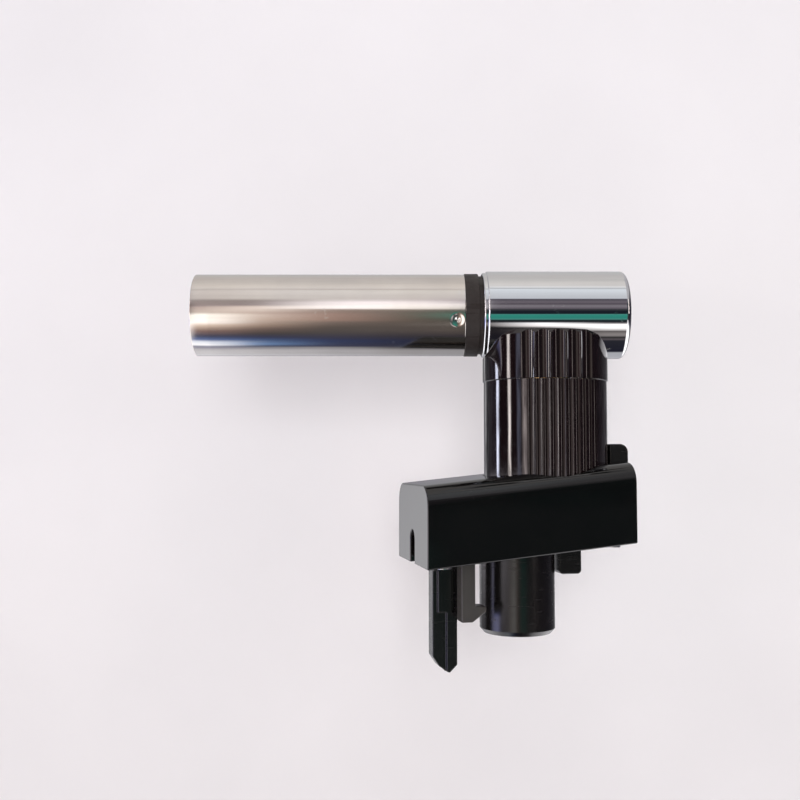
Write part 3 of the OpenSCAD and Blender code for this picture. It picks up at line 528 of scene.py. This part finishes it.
def front_view(nodes, x, z, front):
    """What the metal sees before it: the columns of STUDIO, blended from left to right."""
    elevation = nodes.math("ARCTAN2", z, front)
    columns = []
    for where, level, stops in STUDIO:
        behind = (level, level, 1.06 * level)
        low = [(-180, (0.28, 0.27, 0.3)), (-162, behind), (-124, behind)]
        columns.append((where, circle_ramp(nodes, elevation, low + stops + OVERHEAD)))
    colour = columns[0][1]
    for (left, _), (right, ramp) in zip(columns, columns[1:]):
        colour = nodes.mix(nodes.span(x, left, right), colour, ramp)
    return colour


def side_view(nodes, way, x, z, front):
    """What the metal sees to its sides: bands one above the other, each by azimuth."""
    azimuth = nodes.math("ARCTAN2", x, front)
    patches = nodes.noise(way, 14, 3, 0.6, stretch=(1.0, 1.0, 3.0))
    colour = nodes.mix(nodes.span(patches, 0.42, 0.62, 0.0, 0.8), circle_ramp(nodes, azimuth, HORIZON),
                       rgb(*DARK))
    colour = nodes.mix(nodes.span(z, -0.015, -0.03), colour, circle_ramp(nodes, azimuth, TABLE))
    colour = nodes.mix(nodes.span(z, -0.1, -0.125), colour, circle_ramp(nodes, azimuth, NEAR_FLOOR))
    colour = nodes.mix(nodes.span(z, 0.35, 0.6), colour, rgb(0.62, 0.6, 0.62))
    return nodes.mix(nodes.span(z, -0.3, -0.5), colour, rgb(2.2, 2.15, 2.2))


def build_world():
    """A pale room that the metal mirrors, with panels and a dark stand; the camera sees only plain grey."""
    world = bpy.data.worlds.new("studio")
    bpy.context.scene.world = world
    world.use_nodes = True
    nodes = Nodes(world.node_tree)
    way = nodes.add("TexCoord").outputs["Generated"]
    x, y, z = nodes.add("SeparateXYZ", {0: way}).outputs
    front = nodes.math("MULTIPLY", y, -1.0)
    aside = nodes.span(nodes.math("ABSOLUTE", x), 0.3, 0.42)
    colour = nodes.mix(aside, front_view(nodes, x, z, front), side_view(nodes, way, x, z, front))
    seen = nodes.add("LightPath").outputs["Is Camera Ray"]
    colour = nodes.mix(seen, colour, rgb(0.8, 0.79, 0.8))
    background = nodes.add("Background", {"Color": colour, "Strength": 1.0})
    out = nodes.add("OutputWorld")
    nodes.tree.links.new(background.outputs[0], out.inputs[0])


def plane(name, paint, corners):
    """A flat part of the stage, which the metal doesn't mirror."""
    mesh = bpy.data.meshes.new(name)
    mesh.from_pydata(corners, [], [(0, 1, 2, 3)])
    mesh.materials.append(paint)
    made = bpy.data.objects.new(name, mesh)
    made.visible_glossy = False
    bpy.context.scene.collection.objects.link(made)


def board_material():
    """Pale painted board, faintly uneven, and clear from behind."""
    made, nodes, where = material("board_paint")
    cloud = nodes.noise(where, 9, 3)
    fibre = nodes.noise(where, 240, 3)
    base = nodes.mix(nodes.span(cloud, 0.3, 0.7), rgb(0.79, 0.785, 0.795), rgb(0.83, 0.825, 0.835))
    surface = nodes.add("BsdfPrincipled", {"Base Color": base, "Roughness": 0.6, "Specular IOR Level": 0.25})
    bump = nodes.add("Bump", {"Height": fibre, "Strength": 0.05, "Distance": 0.0002})
    nodes.tree.links.new(bump.outputs[0], surface.inputs["Normal"])
    back = nodes.add("NewGeometry").outputs["Backfacing"]
    clear = nodes.add("BsdfTransparent")
    shader = nodes.add("MixShader", {0: back, 1: surface.outputs[0], 2: clear.outputs[0]})
    out = nodes.add("OutputMaterial")
    nodes.tree.links.new(shader.outputs[0], out.inputs[0])
    return made


def build_stage():
    """A pale board behind the torch head, clear of the swung tube, and the pale floor below it."""
    reach = NECK.x - cad_low.x
    back, ground, half = NECK.y + 0.86 * reach, cad_low.z - 80 * MM, 0.9
    paint = board_material()
    plane("board", paint, [(-half, back, ground), (half, back, ground), (half, back, half),
                           (-half, back, half)])
    plane("floor", paint, [(-half, -half, ground), (half, -half, ground), (half, half, ground),
                           (-half, half, ground)])


def area_light(name, place, target, size, power, colour):
    """A square soft light, seen by neither the camera nor the metal."""
    data = bpy.data.lights.new(name, "AREA")
    data.shape = "RECTANGLE"
    data.size = data.size_y = size
    data.energy = power
    data.color = colour
    lamp = bpy.data.objects.new(name, data)
    lamp.location = place
    lamp.rotation_euler = (Vector(target) - Vector(place)).to_track_quat("-Z", "Y").to_euler()
    lamp.visible_glossy = False
    lamp.visible_camera = False
    bpy.context.scene.collection.objects.link(lamp)


def build_lights():
    middle = (cad_low + cad_high) / 2
    area_light("key", middle + Vector((-0.02, -0.95, 0.1)), middle, 0.32, 3.1, (1.0, 0.985, 1.0))
    area_light("fill", middle + Vector((0.6, -0.75, -0.05)), middle, 0.9, 1.7, (0.94, 1.0, 0.98))
    area_light("rear", middle + Vector((0.1, 0.8, 0.6)), middle, 0.9, 1.5, (1.0, 1.0, 1.0))


# ---------------------------------------------------------------- build
add_camera()
bpy.context.scene.view_settings.view_transform = "Standard"
build_world()
build_stage()
build_lights()
MATERIALS = make_materials()
for node_name, node_object in NODES.items():
    node_object.data.materials.clear()
    node_object.data.materials.append(MATERIALS[SLOT_OF[node_name]])

make_flame_tube()
# Piece, CAD node, width of its rounded edges in mm, and its finish where that isn't the slot's own
for rounded in (
        ("heat_collar", "insulating_collar", 0.25),
        ("neck_fluted_collar", "neck_collar", 0.2, "neck_black"),
        ("flame_fluted_ring", "flame_ring", 0.16, "neck_black"),
        ("base_hood", "base_shroud", 0.4),
        ("base_floor", "base_plate", 0.25),
        ("tank_socket", "fuel_socket", 0.3, "socket_black"),
        ("thumb_trigger", "trigger", 0.45, "socket_black"),
        ("tank_prong", "guide_prong", 0.27, "socket_black"),
        ("tank_key", "locating_key", 0.3, "socket_black"),
        ("tank_hook", "snap_hook", 0.3),
        ("valve_block", "valve_body", 0.3),
        ("valve_rocker", "valve_lever", 0.2),
        ("igniter_case", "piezo_body", 0.3),
        ("wiper_holder", "contact_holder", 0.2),
        ("cup_turned", "burner_cup", 0.15),
        ("body_cast", "burner_body", 0.3)):
    softened(*rounded)
make_spring("trigger_return_spring", "trigger_spring", 0.32, 8)
make_spring("valve_return_spring", "valve_spring", 0.35, 3)
make_spring("hook_return_spring", "latch_spring", 0.25, 3)
